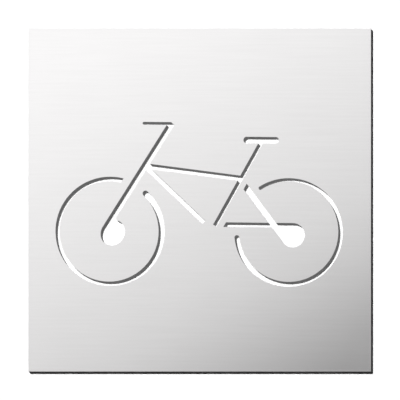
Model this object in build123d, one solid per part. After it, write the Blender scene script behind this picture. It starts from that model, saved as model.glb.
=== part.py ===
from build123d import *
import os
from math import acos, atan2, degrees, hypot

# Bicycle stencil: a composite panel, nearly square, with a bicycle cut right through its three sheets.
# Millimetres and degrees. The panel lies flat as in use: X to the right and Y up as the bicycle
# is seen, Z out of the face. The origin is the middle of the back, on the ground.

# Panel: two thin metal sheets bonded to a plastic core
PANEL_WIDTH = 599.2
PANEL_HEIGHT = 600.0
BACK_THICKNESS = 0.3
CORE_THICKNESS = 2.4
FACE_THICKNESS = 0.3

# Place of the bicycle: drawn level, then turned clockwise by the tilt about the panel's middle
FIGURE_TILT = 0.6
WHEEL_BASE = 312.2
AXLE_DROP = 56.4                # front wheel's centre below the panel's middle
REAR_AXLE_RISE = 1.2            # rear wheel's centre above the front one's

# Wheels: each rim is a slot between a circle and an ellipse, so its width differs by side
FRONT_WHEEL_RADIUS = 95.6
FRONT_RIM_RIGHT = 10.8
FRONT_RIM_TOP = 8.1
FRONT_RIM_LEFT = 7.2
FRONT_RIM_BOTTOM = 7.6
REAR_WHEEL_RADIUS = 95.1
REAR_RIM_RIGHT = 8.1
REAR_RIM_TOP = 5.5
REAR_RIM_LEFT = 8.3
REAR_RIM_BOTTOM = 8.7

# Hubs: the front one is an oval along the fork, the rear one is round, both off the wheel's centre
FRONT_HUB_LENGTH = 46.4
FRONT_HUB_WIDTH = 41.3
FRONT_HUB_AHEAD = 4.7
FRONT_HUB_DROP = 2.4
FRONT_HUB_POINT_RADIUS = 4.0    # rounding of the metal's point between hub and fork
REAR_HUB_DIAMETER = 42.5
REAR_HUB_AHEAD = 7.2
REAR_HUB_DROP = 4.6

# Fork and handlebar: heights are above the front wheel's centre
FORK_ANGLE = 58.4
FORK_WIDTH = 11.1
BAR_HEIGHT = 187.2              # underside of the handlebar
BAR_WIDTH = 4.9
BAR_LENGTH = 55.3
BAR_SLANT = 5.1                 # how far its upper corner is set back from the fork

# Frame tubes: they meet at the head, on the fork, and at the bracket, which stays uncut
HEAD_HEIGHT = 115.2
BRACKET_X = 22.4                # from the panel's middle
BRACKET_HEIGHT = 3.7
TOP_TUBE_ANGLE = -6.8
TOP_TUBE_WIDTH = 9.2
DOWN_TUBE_WIDTH = 7.5
DOWN_TUBE_SHORT = 20.2          # from its end to the bracket
SEAT_TUBE_ANGLE = 61.5
SEAT_TUBE_WIDTH = 7.1
SEAT_TUBE_SHORT = 9.4           # from its end to the bracket
SADDLE_HEIGHT = 162.3
SADDLE_LENGTH = 62.2
SADDLE_WIDTH = 11.3
SADDLE_SETBACK = 2.0            # its middle is left of the seat tube's

# Stays: both run into the rear hub along a tangent
SEAT_STAY_ANGLE = -52.8
SEAT_STAY_WIDTH = 10.5
CHAIN_STAY_ANGLE = 0.0
CHAIN_STAY_WIDTH = 8.1

# Bridges: the metal left between a run's edge and the next slot, or the centre of its round end
SEAT_STAY_BRIDGE = 9.5
CHAIN_STAY_BRIDGE = 10.6
RIM_BRIDGE_AHEAD = 13.9         # front rim's square end to the fork
RIM_BRIDGE_BEHIND = 21.3        # front rim's round end to the fork
RIM_BRIDGE_ABOVE = 14.2         # rear rim's upper round end to the seat stay
RIM_BRIDGE_BELOW = 18.3         # rear rim's lower round end to the chain stay

# Sides of a run, seen along it
LEFT = 1
MIDDLE = 0
RIGHT = -1


class Run:
    """Straight run of the cut-out: a centre line through a point at an angle, and a width."""

    def __init__(self, point, angle, width):
        self.along = Vector(1, 0).rotate(Axis.Z, angle)
        self.left = Vector(0, 1).rotate(Axis.Z, angle)
        self.middle = self.left.dot(point)
        self.half = width / 2

    def line(self, side, gap=0.0):
        """Line along the run, as normal and level: its middle, or one edge moved out by the gap."""
        return self.left, self.middle + side * (self.half + gap)

    def across(self, point, ahead=0.0):
        """Line square to the run, ahead of a point."""
        return self.along, self.along.dot(point) + ahead

    def slot(self, start, end):
        """Outline of the run between the two lines that cut its ends."""
        left, right = self.line(LEFT), self.line(RIGHT)
        return Polygon(
            crossing(right, start), crossing(right, end), crossing(left, end), crossing(left, start)
        )


def tangent_run(center, radius, angle, width, side):
    """Run whose edge on the given side touches a circle or oval of that radius across it."""
    left = Vector(0, 1).rotate(Axis.Z, angle)
    return Run(center + left * side * (radius - width / 2), angle, width)


def level_line(height):
    """Level line at a height above the front wheel's centre."""
    return Vector(0, 1), height - AXLE_DROP


def crossing(first, second):
    """Point where two lines meet."""
    (m, p), (n, q) = first, second
    turn = m.X * n.Y - m.Y * n.X
    return Vector((p * n.Y - q * m.Y) / turn, (q * m.X - p * n.X) / turn)


def crossing_angle(line, center, x_radius, y_radius, side):
    """Angle at which an ellipse crosses a line, on the given side of the line's normal."""
    normal, level = line
    a, b = normal.X * x_radius, normal.Y * y_radius
    reach = (level - normal.dot(center)) / hypot(a, b)
    return degrees(atan2(b, a) + side * acos(reach))


def rim_end(outer_point, inner_point, inward):
    """End of a rim slot: a half circle that bulges along inward, or a straight cut without it."""
    if inward is None:
        return Line(outer_point, inner_point)
    half = (outer_point - inner_point).length / 2
    tip = (outer_point + inner_point) / 2 + inward * half
    return ThreePointArc(outer_point, tip, inner_point)


def rim_slot(center, radius, widths, side, start, end):
    """Slot of one rim, counter-clockwise from the start line to the end line, each with its bulge."""
    right, top, left, bottom = widths
    inner_center = center + Vector((left - right) / 2, (bottom - top) / 2)
    x_radius = radius - (left + right) / 2
    y_radius = radius - (top + bottom) / 2
    outer_angles, inner_angles = [], []
    for line, _ in (start, end):
        outer_angles.append(crossing_angle(line, center, radius, radius, side))
        inner_angles.append(crossing_angle(line, inner_center, x_radius, y_radius, side))
    outer_turn = (outer_angles[1] - outer_angles[0]) % 360
    inner_turn = (inner_angles[1] - inner_angles[0]) % 360
    outer = CenterArc(center, radius, outer_angles[0], outer_turn)
    inner = EllipticalCenterArc(inner_center, x_radius, y_radius, inner_angles[0], arc_size=inner_turn)
    first = rim_end(outer @ 0, inner @ 0, start[1])
    last = rim_end(outer @ 1, inner @ 1, end[1])
    return make_face([outer, last, inner, first])


# Wheel centres, hubs, and the runs that depend on them
front_axle = Vector(-WHEEL_BASE / 2, -AXLE_DROP)
rear_axle = Vector(WHEEL_BASE / 2, REAR_AXLE_RISE - AXLE_DROP)
front_hub_center = front_axle + Vector(FRONT_HUB_AHEAD, -FRONT_HUB_DROP)
rear_hub_center = rear_axle + Vector(REAR_HUB_AHEAD, -REAR_HUB_DROP)
rear_hub_radius = REAR_HUB_DIAMETER / 2
fork = tangent_run(front_hub_center, FRONT_HUB_WIDTH / 2, FORK_ANGLE, FORK_WIDTH, LEFT)
seat_stay = tangent_run(rear_hub_center, rear_hub_radius, SEAT_STAY_ANGLE, SEAT_STAY_WIDTH, RIGHT)
chain_stay = tangent_run(rear_hub_center, rear_hub_radius, CHAIN_STAY_ANGLE, CHAIN_STAY_WIDTH, LEFT)
head = crossing(fork.line(MIDDLE), level_line(HEAD_HEIGHT))
bracket = Vector(BRACKET_X, BRACKET_HEIGHT - AXLE_DROP)
top_tube = Run(head, TOP_TUBE_ANGLE, TOP_TUBE_WIDTH)
down_tube = Run(head, degrees(atan2(bracket.Y - head.Y, bracket.X - head.X)), DOWN_TUBE_WIDTH)
seat_tube = Run(bracket, SEAT_TUBE_ANGLE, SEAT_TUBE_WIDTH)


def handlebar():
    """Level slot with a round end ahead and a slanted end that meets the fork's rear edge."""
    underside = BAR_HEIGHT - AXLE_DROP
    top = underside + BAR_WIDTH
    tip = crossing(fork.line(RIGHT), level_line(BAR_HEIGHT))
    round_x = tip.X - BAR_LENGTH + BAR_WIDTH / 2
    corners = [(round_x, underside), (tip.X, underside), (tip.X - BAR_SLANT, top), (round_x, top)]
    round_end = Pos(round_x, underside + BAR_WIDTH / 2) * Circle(BAR_WIDTH / 2)
    return Polygon(corners) + round_end


def saddle():
    """Level slot with round ends over the seat tube."""
    middle = crossing(seat_tube.line(MIDDLE), level_line(SADDLE_HEIGHT))
    return Pos(middle.X - SADDLE_SETBACK, middle.Y) * SlotOverall(SADDLE_LENGTH, SADDLE_WIDTH)


def front_frame():
    """Handlebar, fork, front hub, saddle and the three frame tubes, which are one opening."""
    oval = Ellipse(FRONT_HUB_LENGTH / 2, FRONT_HUB_WIDTH / 2)
    hub = Pos(front_hub_center) * Rot(0, 0, FORK_ANGLE) * oval
    legs = fork.slot(fork.across(front_hub_center), level_line(BAR_HEIGHT))
    fork_and_hub = hub + legs
    hub_end = fork.across(front_hub_center, FRONT_HUB_LENGTH / 2)
    near_point = crossing(fork.line(RIGHT), hub_end)
    point = fork_and_hub.vertices().sort_by_distance(near_point)[0]
    rounded = fillet(point, FRONT_HUB_POINT_RADIUS)
    top = top_tube.slot(fork.line(MIDDLE), seat_tube.line(MIDDLE))
    down = down_tube.slot(fork.line(MIDDLE), down_tube.across(bracket, -DOWN_TUBE_SHORT))
    seat = seat_tube.slot(seat_tube.across(bracket, SEAT_TUBE_SHORT), level_line(SADDLE_HEIGHT))
    return rounded + handlebar() + top + down + seat + saddle()


def rear_stays():
    """Seat stay, chain stay and rear hub, which are one opening, cut off along the seat tube."""
    hub = Pos(rear_hub_center) * Circle(rear_hub_radius)
    hub_ends = seat_stay.across(rear_hub_center), chain_stay.across(rear_hub_center)
    upper = seat_stay.slot(seat_tube.line(RIGHT, SEAT_STAY_BRIDGE), hub_ends[0])
    lower = chain_stay.slot(seat_tube.line(RIGHT, CHAIN_STAY_BRIDGE), hub_ends[1])
    # the space between the two tangents is open too, back to where they cross
    outer_edges = seat_stay.line(RIGHT), chain_stay.line(LEFT)
    touch_below, touch_above = (crossing(edge, end) for edge, end in zip(outer_edges, hub_ends))
    between = Polygon(crossing(*outer_edges), touch_below, rear_hub_center, touch_above)
    return hub + upper + lower + between


def front_rim():
    """Front rim: its ends stop short of the fork on both sides."""
    widths = FRONT_RIM_RIGHT, FRONT_RIM_TOP, FRONT_RIM_LEFT, FRONT_RIM_BOTTOM
    start = fork.line(LEFT, RIM_BRIDGE_AHEAD), None
    end = fork.line(RIGHT, RIM_BRIDGE_BEHIND), fork.left
    return rim_slot(front_axle, FRONT_WHEEL_RADIUS, widths, RIGHT, start, end)


def rear_rim():
    """Rear rim: its ends stop short of the chain stay and the seat stay."""
    widths = REAR_RIM_RIGHT, REAR_RIM_TOP, REAR_RIM_LEFT, REAR_RIM_BOTTOM
    start = chain_stay.line(RIGHT, RIM_BRIDGE_BELOW), chain_stay.left
    end = seat_stay.line(LEFT, RIM_BRIDGE_ABOVE), -seat_stay.left
    return rim_slot(rear_axle, REAR_WHEEL_RADIUS, widths, LEFT, start, end)


# The sheets: one outline, three thicknesses from the ground up
openings = [front_rim(), front_frame(), rear_stays(), rear_rim()]
outline = Rectangle(PANEL_WIDTH, PANEL_HEIGHT)
for opening in openings:
    outline -= Rot(0, 0, -FIGURE_TILT) * opening

sheets = {
    "back_sheet": BACK_THICKNESS,
    "core_sheet": CORE_THICKNESS,
    "face_sheet": FACE_THICKNESS,
}

os.makedirs("parts", exist_ok=True)
level = 0.0
for node, thickness in sheets.items():
    sheet = Pos(0, 0, level) * extrude(outline, thickness)
    sheet.label = node
    export_step(sheet, f"parts/{node}.step")
    level += thickness
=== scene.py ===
import math

import bmesh
import bpy
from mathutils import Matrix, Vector


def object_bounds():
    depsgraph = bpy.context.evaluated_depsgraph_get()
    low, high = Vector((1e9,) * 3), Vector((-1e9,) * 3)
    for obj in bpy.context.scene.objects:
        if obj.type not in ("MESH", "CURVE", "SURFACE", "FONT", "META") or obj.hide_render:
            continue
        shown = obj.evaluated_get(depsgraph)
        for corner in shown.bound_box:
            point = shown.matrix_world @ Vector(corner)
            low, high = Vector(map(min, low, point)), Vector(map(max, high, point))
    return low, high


bl_info = {
    "name": "Bicycle Stencil",
    "version": (1, 0, 0),
    "blender": (4, 5, 0),
    "location": "View3D > Sidebar > Stencil",
    "description": "Finishes and stage for a flat bicycle stencil routed from aluminium composite sheet",
    "category": "Object",
}

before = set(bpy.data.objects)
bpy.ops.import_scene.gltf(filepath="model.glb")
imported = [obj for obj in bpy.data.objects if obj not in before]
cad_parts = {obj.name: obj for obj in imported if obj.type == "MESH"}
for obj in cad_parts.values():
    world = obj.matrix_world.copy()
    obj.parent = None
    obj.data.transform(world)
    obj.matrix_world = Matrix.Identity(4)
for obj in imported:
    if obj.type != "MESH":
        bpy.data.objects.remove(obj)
CAD_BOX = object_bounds()

# The panel as the frame gives it
PANEL_HEIGHT = CAD_BOX[1].y - CAD_BOX[0].y
PANEL_THICKNESS = CAD_BOX[1].z - CAD_BOX[0].z
PANEL_TOP = CAD_BOX[1].z

# The picture: a square of so many pixels, of which the panel's height takes so many
PICTURE_PIXELS = 400
PANEL_PIXELS = 343.0

DOWN = Vector((0.0, 0.0, -1.0))

MILLIMETRE = 0.001

# The part of 0 to 1 that a noise pattern really fills
NOISE_LOW = 0.3
NOISE_HIGH = 0.7

# Sockets of a colour mix, which go by number
MIX_SHARE = 0
MIX_FIRST = 6
MIX_SECOND = 7
MIX_RESULT = 2


def linear(hex_colour):
    """Turn an sRGB hex colour into three linear values."""
    values = []
    for start in (0, 2, 4):
        level = int(hex_colour[start:start + 2], 16) / 255.0
        if level <= 0.04045:
            values.append(level / 12.92)
        else:
            values.append(((level + 0.055) / 1.055) ** 2.4)
    return tuple(values)


def rgba(colour):
    """Add full opacity to three linear values."""
    return (colour[0], colour[1], colour[2], 1.0)


def add_node(tree, kind, settings=None, links=None):
    """Add one node, set its sockets or properties, and join its inputs."""
    node = tree.nodes.new(kind)
    for name, value in (settings or {}).items():
        if isinstance(name, int) or name in node.inputs:
            node.inputs[name].default_value = value
        else:
            setattr(node, name, value)
    for name, source in (links or {}).items():
        tree.links.new(source, node.inputs[name])
    return node


def new_material(name):
    """Make an empty node material and return it with its tree."""
    material = bpy.data.materials.new(name)
    material.use_nodes = True
    material.node_tree.nodes.clear()
    return material, material.node_tree


def dress(node_name, material):
    """Put a material on every slot of a carried-over node."""
    if node_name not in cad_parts:
        raise RuntimeError("the frame has no node called " + node_name)
    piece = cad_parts[node_name]
    if not piece.material_slots:
        raise RuntimeError(node_name + " has no material slot")
    for slot in piece.material_slots:
        slot.material = material


class StencilFace(bpy.types.PropertyGroup):
    """Brushed face skin"""

    colour: bpy.props.FloatVectorProperty(
        name="Colour",
        description="Colour of the lacquered aluminium where the brushing is finest",
        subtype="COLOR",
        size=3,
        min=0.0,
        max=1.0,
        default=linear("F5F4F4"),
    )
    line_colour: bpy.props.FloatVectorProperty(
        name="Line colour",
        description="Colour along the deeper brush lines",
        subtype="COLOR",
        size=3,
        min=0.0,
        max=1.0,
        default=linear("F2F1F1"),
    )
    roughness: bpy.props.FloatProperty(
        name="Roughness",
        description="Roughness of the satin skin",
        subtype="FACTOR",
        min=0.0,
        max=1.0,
        default=0.32,
    )
    line_width: bpy.props.FloatProperty(
        name="Line width",
        description="Width of one drawn brush line",
        unit="LENGTH",
        min=0.0001,
        default=3.6 * MILLIMETRE,
    )
    line_length: bpy.props.FloatProperty(
        name="Line length",
        description="Length of one drawn brush line",
        unit="LENGTH",
        min=0.001,
        default=140.0 * MILLIMETRE,
    )
    line_depth: bpy.props.FloatProperty(
        name="Line depth",
        description="Depth of one drawn brush line",
        unit="LENGTH",
        min=0.0,
        default=0.008 * MILLIMETRE,
    )
    rim_width: bpy.props.FloatProperty(
        name="Rim width",
        description="Width of the strip along the panel's rim that handling has dulled",
        unit="LENGTH",
        min=0.0001,
        default=5.0 * MILLIMETRE,
    )


class StencilCore(bpy.types.PropertyGroup):
    """Polyethylene core"""

    colour: bpy.props.FloatVectorProperty(
        name="Colour",
        description="Colour of the core on its cut edge",
        subtype="COLOR",
        size=3,
        min=0.0,
        max=1.0,
        default=linear("2A2A2C"),
    )
    scuff_colour: bpy.props.FloatVectorProperty(
        name="Scuff colour",
        description="Colour where the cutter left the edge scuffed",
        subtype="COLOR",
        size=3,
        min=0.0,
        max=1.0,
        default=linear("414144"),
    )
    mark_pitch: bpy.props.FloatProperty(
        name="Cutter mark pitch",
        description="Distance from one upright cutter mark to the next",
        unit="LENGTH",
        min=0.0001,
        default=1.6 * MILLIMETRE,
    )
    mark_depth: bpy.props.FloatProperty(
        name="Cutter mark depth",
        description="Depth of the upright cutter marks",
        unit="LENGTH",
        min=0.0,
        default=0.05 * MILLIMETRE,
    )


class StencilBack(bpy.types.PropertyGroup):
    """Mill-finish back skin"""

    colour: bpy.props.FloatVectorProperty(
        name="Colour",
        description="Colour of the bare rolled aluminium",
        subtype="COLOR",
        size=3,
        min=0.0,
        max=1.0,
        default=linear("DCDCDE"),
    )
    streak_colour: bpy.props.FloatVectorProperty(
        name="Streak colour",
        description="Colour of the darker rolling streaks",
        subtype="COLOR",
        size=3,
        min=0.0,
        max=1.0,
        default=linear("C3C3C6"),
    )
    roughness: bpy.props.FloatProperty(
        name="Roughness",
        description="Roughness of the rolled skin",
        subtype="FACTOR",
        min=0.0,
        max=1.0,
        default=0.36,
    )
    streak_width: bpy.props.FloatProperty(
        name="Streak width",
        description="Width of one rolling streak",
        unit="LENGTH",
        min=0.0001,
        default=5.0 * MILLIMETRE,
    )


class StencilStage(bpy.types.PropertyGroup):
    """Floor, lights and camera"""

    floor_colour: bpy.props.FloatVectorProperty(
        name="Floor colour",
        description="Colour of the matt floor",
        subtype="COLOR",
        size=3,
        min=0.0,
        max=1.0,
        default=linear("F4F4F4"),
    )
    horizon_colour: bpy.props.FloatVectorProperty(
        name="Horizon colour",
        description="Tone of the surroundings at the horizon",
        subtype="COLOR",
        size=3,
        min=0.0,
        max=1.0,
        default=linear("E6E6E6"),
    )
    ceiling_colour: bpy.props.FloatVectorProperty(
        name="Ceiling colour",
        description="Tone of the surroundings overhead",
        subtype="COLOR",
        size=3,
        min=0.0,
        max=1.0,
        default=linear("282828"),
    )
    floor_brightness: bpy.props.FloatProperty(
        name="Floor brightness",
        description="How bright the sunlit floor looks, where 1 is white",
        min=0.0,
        default=1.02,
    )
    shadow_right: bpy.props.FloatProperty(
        name="Shadow right",
        description="How far the face's shadow falls to the right on the floor",
        unit="LENGTH",
        default=4.0 * MILLIMETRE,
    )
    shadow_down: bpy.props.FloatProperty(
        name="Shadow down",
        description="How far the face's shadow falls down the picture on the floor",
        unit="LENGTH",
        default=4.72 * MILLIMETRE,
    )
    sun_angle: bpy.props.FloatProperty(
        name="Sun angle",
        description="Apparent size of the sun, which softens the shadow's edge",
        subtype="ANGLE",
        min=0.0,
        default=math.radians(3.0),
    )
    fill_level: bpy.props.FloatProperty(
        name="Fill level",
        description="Brightness of the floor in the panel's outer shadow",
        min=0.0,
        default=0.02,
    )
    # Painted light: the glow of the sheet under the openings stands in for fill light in their shadow
    slot_painted_fill: bpy.props.FloatProperty(
        name="Slot level",
        description="How brightly the sheet under the panel's openings glows",
        min=0.0,
        default=0.09,
    )
    panel_bright: bpy.props.FloatProperty(
        name="Bright end",
        description="Brightness of the graded light panel over the face's upper left corner",
        min=0.0,
        default=1.11,
    )
    panel_outer: bpy.props.FloatProperty(
        name="Outer end",
        description="Brightness at the graded light panel's outer end, past the face's upper left corner",
        min=0.0,
        default=0.95,
    )
    panel_knee: bpy.props.FloatProperty(
        name="Knee",
        description="Brightness where the graded light panel starts to darken faster",
        min=0.0,
        default=0.735,
    )
    panel_dark: bpy.props.FloatProperty(
        name="Dark end",
        description="Brightness of the graded light panel over the face's lower right corner",
        min=0.0,
        default=0.22,
    )
    knee_place: bpy.props.FloatProperty(
        name="Knee place",
        description="Where the knee lies, as a share of the way from the face's middle to its corner",
        subtype="FACTOR",
        min=-1.0,
        max=1.0,
        default=0.47,
    )
    panel_light_height: bpy.props.FloatProperty(
        name="Panel light height",
        description="Height of the graded light panel over the face",
        unit="LENGTH",
        min=0.1,
        default=0.6,
    )
    grade_angle: bpy.props.FloatProperty(
        name="Grade angle",
        description="Direction in which the light panel darkens, turned down from the picture's right",
        subtype="ANGLE",
        default=math.radians(60.0),
    )
    aim_right: bpy.props.FloatProperty(
        name="Aim right",
        description="How far right of the panel's middle the camera hangs",
        unit="LENGTH",
        default=0.55 * MILLIMETRE,
    )
    lens: bpy.props.FloatProperty(
        name="Lens",
        description="Focal length, long so that the panel is seen flat on",
        subtype="DISTANCE_CAMERA",
        min=1.0,
        default=200.0,
    )


class BicycleStencil(bpy.types.PropertyGroup):
    """All settings of the stencil"""

    face: bpy.props.PointerProperty(type=StencilFace, name="Face")
    core: bpy.props.PointerProperty(type=StencilCore, name="Core")
    back: bpy.props.PointerProperty(type=StencilBack, name="Back")
    stage: bpy.props.PointerProperty(type=StencilStage, name="Stage")


class STENCIL_OT_face_sheet(bpy.types.Operator):
    """Give the face sheet its brushed and lacquered finish"""

    bl_idname = "stencil.face_sheet"
    bl_label = "Face Sheet"

    def execute(self, context):
        look = context.scene.bicycle_stencil.face
        # Aluminium skin, brushed one way and clear lacquered: a soft mirror that shows the light above it
        # as one smooth run of grey, with faint lines along the brushing and a slightly duller handled rim.
        # Real brush lines are about 0.2 mm wide, too fine for this picture, so they are drawn coarser.
        material, tree = new_material("aluminium_brushed_lacquered")
        place = add_node(tree, "ShaderNodeTexCoord").outputs["Object"]
        stretch = (1.0 / look.line_length, 1.0 / look.line_width, 0.0)
        along = add_node(tree, "ShaderNodeMapping", {"Scale": stretch}, {"Vector": place})
        lines = add_node(
            tree, "ShaderNodeTexNoise",
            {"noise_dimensions": "2D", "Scale": 1.0, "Detail": 3.0, "Roughness": 0.6},
            {"Vector": along.outputs["Vector"]},
        )
        shade = add_node(
            tree, "ShaderNodeMapRange",
            {"From Min": NOISE_LOW, "From Max": NOISE_HIGH},
            {"Value": lines.outputs["Fac"]},
        )
        colour = add_node(
            tree, "ShaderNodeMix",
            {"data_type": "RGBA", MIX_FIRST: rgba(look.line_colour), MIX_SECOND: rgba(look.colour)},
            {MIX_SHARE: shade.outputs["Result"]},
        )
        cloud_size = 90.0 * MILLIMETRE
        cloud_spread = 0.025
        cloud = add_node(
            tree, "ShaderNodeTexNoise",
            {"Scale": 1.0 / cloud_size, "Detail": 2.0},
            {"Vector": place},
        )
        satin = add_node(
            tree, "ShaderNodeMapRange",
            {
                "From Min": NOISE_LOW,
                "From Max": NOISE_HIGH,
                "To Min": look.roughness - cloud_spread,
                "To Max": look.roughness + cloud_spread,
            },
            {"Value": cloud.outputs["Fac"]},
        )
        # The rim begins where the larger of the two offsets from the middle nears half the height
        rim_dulling = 0.08
        half_height = PANEL_HEIGHT / 2
        apart = add_node(tree, "ShaderNodeVectorMath", {"operation": "ABSOLUTE"}, {0: place})
        axes = add_node(tree, "ShaderNodeSeparateXYZ", {}, {0: apart.outputs[0]})
        outer = add_node(
            tree, "ShaderNodeMath", {"operation": "MAXIMUM"},
            {0: axes.outputs["X"], 1: axes.outputs["Y"]},
        )
        rim = add_node(
            tree, "ShaderNodeMapRange",
            {"From Min": half_height - look.rim_width, "From Max": half_height, "To Max": rim_dulling},
            {"Value": outer.outputs[0]},
        )
        roughness = add_node(
            tree, "ShaderNodeMath", {"operation": "ADD"},
            {0: satin.outputs["Result"], 1: rim.outputs["Result"]},
        )
        relief = add_node(
            tree, "ShaderNodeBump",
            {"Strength": 1.0, "Distance": look.line_depth},
            {"Height": lines.outputs["Fac"]},
        )
        skin = add_node(
            tree, "ShaderNodeBsdfPrincipled",
            {"Metallic": 1.0},
            {
                "Base Color": colour.outputs[MIX_RESULT],
                "Roughness": roughness.outputs[0],
                "Normal": relief.outputs["Normal"],
            },
        )
        add_node(tree, "ShaderNodeOutputMaterial", {}, {"Surface": skin.outputs[0]})
        dress("face_sheet", material)
        return {"FINISHED"}


class STENCIL_OT_core_sheet(bpy.types.Operator):
    """Give the core sheet its routed edge"""

    bl_idname = "stencil.core_sheet"
    bl_label = "Core Sheet"

    def execute(self, context):
        look = context.scene.bicycle_stencil.core
        # Polyethylene core, extruded and then routed: a matt near-black edge with upright cutter marks
        # and paler scuffs where the cutter rubbed.
        material, tree = new_material("polyethylene_extruded_routed")
        place = add_node(tree, "ShaderNodeTexCoord").outputs["Object"]
        upright = (1.0 / look.mark_pitch, 1.0 / look.mark_pitch, 0.0)
        across = add_node(tree, "ShaderNodeMapping", {"Scale": upright}, {"Vector": place})
        marks = add_node(
            tree, "ShaderNodeTexNoise",
            {"Scale": 1.0, "Detail": 2.0},
            {"Vector": across.outputs["Vector"]},
        )
        # Scuffs follow the upper half of their pattern and are full near its peaks
        scuff_size = 14.0 * MILLIMETRE
        scuff_start = 0.5
        scuff_full = 0.72
        scuffs = add_node(
            tree, "ShaderNodeTexNoise",
            {"Scale": 1.0 / scuff_size, "Detail": 4.0},
            {"Vector": place},
        )
        scuffed = add_node(
            tree, "ShaderNodeMapRange",
            {"From Min": scuff_start, "From Max": scuff_full},
            {"Value": scuffs.outputs["Fac"]},
        )
        colour = add_node(
            tree, "ShaderNodeMix",
            {"data_type": "RGBA", MIX_FIRST: rgba(look.colour), MIX_SECOND: rgba(look.scuff_colour)},
            {MIX_SHARE: scuffed.outputs["Result"]},
        )
        groove_roughness = 0.48
        ridge_roughness = 0.66
        roughness = add_node(
            tree, "ShaderNodeMapRange",
            {
                "From Min": NOISE_LOW,
                "From Max": NOISE_HIGH,
                "To Min": groove_roughness,
                "To Max": ridge_roughness,
            },
            {"Value": marks.outputs["Fac"]},
        )
        relief = add_node(
            tree, "ShaderNodeBump",
            {"Strength": 0.8, "Distance": look.mark_depth},
            {"Height": marks.outputs["Fac"]},
        )
        plastic = add_node(
            tree, "ShaderNodeBsdfPrincipled",
            {"IOR": 1.51},
            {
                "Base Color": colour.outputs[MIX_RESULT],
                "Roughness": roughness.outputs["Result"],
                "Normal": relief.outputs["Normal"],
            },
        )
        add_node(tree, "ShaderNodeOutputMaterial", {}, {"Surface": plastic.outputs[0]})
        dress("core_sheet", material)
        return {"FINISHED"}


class STENCIL_OT_back_sheet(bpy.types.Operator):
    """Give the back sheet its rolled mill finish"""

    bl_idname = "stencil.back_sheet"
    bl_label = "Back Sheet"

    def execute(self, context):
        look = context.scene.bicycle_stencil.back
        # Aluminium skin as it left the rolling mill: duller and greyer than the face, with long soft
        # streaks along the rolling direction and a patchy sheen.
        material, tree = new_material("aluminium_rolled_mill_finish")
        place = add_node(tree, "ShaderNodeTexCoord").outputs["Object"]
        streak_length = 400.0 * MILLIMETRE
        streak_low = 0.35
        streak_high = 0.65
        streak_dulling = 0.08
        sheen_gain = 0.05
        stretch = (1.0 / look.streak_width, 1.0 / streak_length, 0.0)
        along = add_node(tree, "ShaderNodeMapping", {"Scale": stretch}, {"Vector": place})
        streaks = add_node(
            tree, "ShaderNodeTexNoise",
            {"noise_dimensions": "2D", "Scale": 1.0, "Detail": 4.0, "Roughness": 0.6},
            {"Vector": along.outputs["Vector"]},
        )
        shade = add_node(
            tree, "ShaderNodeMapRange",
            {"From Min": streak_low, "From Max": streak_high},
            {"Value": streaks.outputs["Fac"]},
        )
        colour = add_node(
            tree, "ShaderNodeMix",
            {"data_type": "RGBA", MIX_FIRST: rgba(look.streak_colour), MIX_SECOND: rgba(look.colour)},
            {MIX_SHARE: shade.outputs["Result"]},
        )
        roughness = add_node(
            tree, "ShaderNodeMapRange",
            {
                "From Min": NOISE_LOW,
                "From Max": NOISE_HIGH,
                "To Min": look.roughness + streak_dulling,
                "To Max": look.roughness - sheen_gain,
            },
            {"Value": streaks.outputs["Fac"]},
        )
        skin = add_node(
            tree, "ShaderNodeBsdfPrincipled",
            {"Metallic": 1.0},
            {"Base Color": colour.outputs[MIX_RESULT], "Roughness": roughness.outputs["Result"]},
        )
        add_node(tree, "ShaderNodeOutputMaterial", {}, {"Surface": skin.outputs[0]})
        dress("back_sheet", material)
        return {"FINISHED"}


def add_light(name, kind, place, look_along, settings):
    """Add one light that shines along a direction."""
    lamp = bpy.data.lights.new(name, kind)
    for field, value in settings.items():
        setattr(lamp, field, value)
    light = bpy.data.objects.new(name, lamp)
    light.location = place
    light.rotation_euler = look_along.to_track_quat("-Z", "Y").to_euler()
    light.visible_camera = False
    bpy.context.scene.collection.objects.link(light)
    return light


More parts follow.
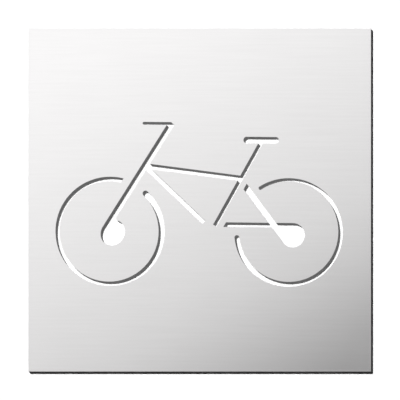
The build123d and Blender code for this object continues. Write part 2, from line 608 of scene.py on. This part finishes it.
class STENCIL_OT_stage(bpy.types.Operator):
    """Set the floor, the lights and the camera"""

    bl_idname = "stencil.stage"
    bl_label = "Stage"

    def execute(self, context):
        stage = context.scene.bicycle_stencil.stage
        self.lay_floor(context, stage)
        self.light_world(context, stage)
        self.hang_lights(stage)
        self.place_camera(context, stage)
        context.scene.view_settings.view_transform = "Standard"
        context.scene.view_settings.look = "None"
        return {"FINISHED"}

    def lay_floor(self, context, stage):
        """Lay a wide matt floor under the panel, and on it a small sheet whose glow is painted light that
        lifts the shadow in the openings.
        """
        colour = stage.floor_colour
        floor_half = 15.0
        floor_gap = 0.05 * MILLIMETRE
        floor_glow = 0.0
        self.lay_sheet(context, "floor", floor_half, floor_gap, colour, floor_glow)

        # The small sheet glows though it is no lamp: painted light that lifts the shadow seen through the
        # openings
        sheet_margin = 5.0 * MILLIMETRE
        sheet_half = PANEL_HEIGHT / 2 - sheet_margin
        sheet_gap = 0.03 * MILLIMETRE
        self.lay_sheet(context, "painted_fill_sheet", sheet_half, sheet_gap, colour, stage.slot_painted_fill)

    def lay_sheet(self, context, name, half, gap, colour, glow):
        """Lay one square sheet of matt paper a hair under the panel's back, glowing with the given amount
        of painted light.
        """
        build = bmesh.new()
        bmesh.ops.create_grid(build, x_segments=1, y_segments=1, size=half)
        mesh = bpy.data.meshes.new(name)
        build.to_mesh(mesh)
        build.free()
        sheet = bpy.data.objects.new(name, mesh)
        sheet.location.z = CAD_BOX[0].z - gap
        context.scene.collection.objects.link(sheet)
        # Uncoated paper: an even white with no shine. On the small sheet the glow is painted light, which
        # lifts the shadow in the openings to one even grey.
        material, tree = new_material("paper_matt_" + name)
        paper = add_node(
            tree, "ShaderNodeBsdfPrincipled",
            {
                "Base Color": rgba(colour),
                "Roughness": 1.0,
                "Specular IOR Level": 0.0,
                "Emission Color": (1.0, 1.0, 1.0, 1.0),
                "Emission Strength": glow,
            },
        )
        add_node(tree, "ShaderNodeOutputMaterial", {}, {"Surface": paper.outputs[0]})
        mesh.materials.append(material)

    def light_world(self, context, stage):
        """Make pale surroundings that darken overhead, seen in reflections but not lighting the floor."""
        world = bpy.data.worlds.new("studio")
        world.use_nodes = True
        tree = world.node_tree
        tree.nodes.clear()
        horizon_end = 0.25
        ceiling_start = 0.7
        ray = add_node(tree, "ShaderNodeTexCoord").outputs["Generated"]
        rise = add_node(tree, "ShaderNodeSeparateXYZ", {}, {0: ray})
        height = add_node(
            tree, "ShaderNodeMapRange",
            {"interpolation_type": "SMOOTHSTEP", "From Min": horizon_end, "From Max": ceiling_start},
            {"Value": rise.outputs["Z"]},
        )
        horizon = rgba(stage.horizon_colour)
        ceiling = rgba(stage.ceiling_colour)
        tone = add_node(
            tree, "ShaderNodeMix",
            {"data_type": "RGBA", MIX_FIRST: horizon, MIX_SECOND: ceiling},
            {MIX_SHARE: height.outputs["Result"]},
        )
        glow = add_node(tree, "ShaderNodeBackground", {}, {"Color": tone.outputs[MIX_RESULT]})
        add_node(tree, "ShaderNodeOutputWorld", {}, {"Surface": glow.outputs[0]})
        world.cycles_visibility.diffuse = False
        context.scene.world = world

    def hang_lights(self, stage):
        """Hang the sun, the fill and the graded panel over the face."""
        self.hang_sun(stage)
        self.hang_fill(stage)
        self.hang_graded_panel(stage)

    def hang_sun(self, stage):
        """Aim the sun so that the face's shadow falls where it should, and light the floor with it."""
        shine = Vector((stage.shadow_right, -stage.shadow_down, -PANEL_THICKNESS))
        steepness = -shine.normalized().z
        paleness = stage.floor_colour[0]
        strength = math.pi * stage.floor_brightness / (paleness * steepness)
        sun = add_light(
            "sun", "SUN", -shine.normalized(), shine,
            {"energy": strength, "angle": stage.sun_angle},
        )
        sun.visible_glossy = False

    def hang_fill(self, stage):
        """Hang a wide weak light that lifts the shadows."""
        fill_side = 4.0
        fill_height = 2.0
        # Watts at which this light alone would make the floor about white
        white_power = 100.0
        fill = add_light(
            "fill", "AREA", (0.0, 0.0, fill_height), DOWN,
            {"shape": "SQUARE", "size": fill_side, "energy": stage.fill_level * white_power},
        )
        fill.visible_glossy = False

    def hang_graded_panel(self, stage):
        """Hang the panel that the face mirrors: bright at one end and dark at the other."""
        panel_side = 2.0
        area = panel_side * panel_side
        panel = add_light(
            "graded_panel", "AREA", (0.0, 0.0, PANEL_TOP + stage.panel_light_height), DOWN,
            {"shape": "SQUARE", "size": panel_side, "energy": math.pi * area},
        )
        panel.rotation_euler = (0.0, 0.0, -stage.grade_angle)
        panel.visible_diffuse = False
        lamp = panel.data
        lamp.use_nodes = True
        tree = lamp.node_tree
        tree.nodes.clear()
        spot = add_node(tree, "ShaderNodeNewGeometry").outputs["Parametric"]
        across = add_node(tree, "ShaderNodeSeparateXYZ", {}, {0: spot})
        grade = add_node(tree, "ShaderNodeValToRGB", {}, {"Fac": across.outputs[0]})
        # Places of the stops are shares of the way from the face's middle to its corner, as the camera
        # sees them mirrored in the face
        outer_place = -1.6
        bright_place = -1.0
        dark_place = 1.0
        reach = 1.0 + stage.panel_light_height / self.camera_height(stage)
        corner = PANEL_HEIGHT / 2 * (math.cos(stage.grade_angle) + math.sin(stage.grade_angle))
        middle = 0.5
        stops = (
            (outer_place, stage.panel_outer),
            (bright_place, stage.panel_bright),
            (stage.knee_place, stage.panel_knee),
            (dark_place, stage.panel_dark),
        )
        ramp = grade.color_ramp
        ramp.elements.remove(ramp.elements[1])
        for number, (share, level) in enumerate(stops):
            position = middle + share * corner * reach / panel_side
            stop = ramp.elements[0] if number == 0 else ramp.elements.new(position)
            stop.position = position
            stop.color = (level, level, level, 1.0)
        glow = add_node(tree, "ShaderNodeEmission", {}, {"Color": grade.outputs["Color"]})
        add_node(tree, "ShaderNodeOutputLight", {}, {"Surface": glow.outputs[0]})

    def camera_height(self, stage):
        """Work out how high over the face the camera hangs for the picture's width."""
        # Millimetres, as the lens is
        sensor_width = 36.0
        picture_width = PANEL_HEIGHT * PICTURE_PIXELS / PANEL_PIXELS
        return picture_width * stage.lens / sensor_width

    def place_camera(self, context, stage):
        """Hang the camera straight over the panel."""
        data = bpy.data.cameras.new("camera")
        data.lens = stage.lens
        camera = bpy.data.objects.new("camera", data)
        camera.location = (stage.aim_right, 0.0, PANEL_TOP + self.camera_height(stage))
        context.scene.collection.objects.link(camera)
        context.scene.camera = camera


class STENCIL_PT_panel(bpy.types.Panel):
    """Settings and steps of the stencil"""

    bl_idname = "STENCIL_PT_panel"
    bl_label = "Bicycle Stencil"
    bl_space_type = "VIEW_3D"
    bl_region_type = "UI"
    bl_category = "Stencil"

    def draw(self, context):
        settings = context.scene.bicycle_stencil
        groups = (
            ("stencil.face_sheet", settings.face),
            ("stencil.core_sheet", settings.core),
            ("stencil.back_sheet", settings.back),
            ("stencil.stage", settings.stage),
        )
        for step, group in groups:
            box = self.layout.box()
            for field in group.__annotations__:
                box.prop(group, field)
            box.operator(step)


CLASSES = (
    StencilFace,
    StencilCore,
    StencilBack,
    StencilStage,
    BicycleStencil,
    STENCIL_OT_face_sheet,
    STENCIL_OT_core_sheet,
    STENCIL_OT_back_sheet,
    STENCIL_OT_stage,
    STENCIL_PT_panel,
)


def register():
    """Register the classes and give every scene the stencil's settings."""
    for kind in CLASSES:
        bpy.utils.register_class(kind)
    bpy.types.Scene.bicycle_stencil = bpy.props.PointerProperty(type=BicycleStencil)


def unregister():
    """Take the settings and the classes away again."""
    del bpy.types.Scene.bicycle_stencil
    for kind in reversed(CLASSES):
        bpy.utils.unregister_class(kind)


def main():
    """Dress the sheets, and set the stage."""
    register()
    bpy.ops.stencil.face_sheet()
    bpy.ops.stencil.core_sheet()
    bpy.ops.stencil.back_sheet()
    bpy.ops.stencil.stage()


if __name__ == "__main__":
    main()
